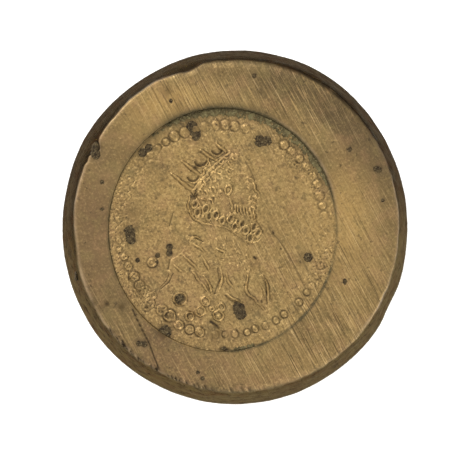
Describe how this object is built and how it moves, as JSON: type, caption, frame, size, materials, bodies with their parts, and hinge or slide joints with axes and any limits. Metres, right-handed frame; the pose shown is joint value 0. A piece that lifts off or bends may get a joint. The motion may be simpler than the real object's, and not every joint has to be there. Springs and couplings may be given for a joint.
{
  "type": "struck brass token",
  "caption": "Thick round brass disc with a tapered side and a struck oval roundel: beaded ring, crowned bust in low relief, dark crusts in its pits.",
  "frame": {"origin": "middle of the back face, which the disc rests on", "axes": "+Z out of the struck face, +Y up along the bust, +X the way the bust faces"},
  "size_m": [0.0276, 0.0282, 0.0056],
  "materials": {
    "brass": "struck and filed brass under an olive-brown patina, rubbed brighter on the high places",
    "corrosion_crust": "dull, lumpy, nearly black copper oxide",
    "verdigris": "dull grey-green deposit"
  },
  "bodies": {
    "root": {"brass_disc": "brass", "edge_crusts": "corrosion_crust", "ring_crusts": "corrosion_crust", "border_crusts": "corrosion_crust", "field_crusts": "corrosion_crust", "seam_verdigris": "verdigris"}
  },
  "joints": []
}
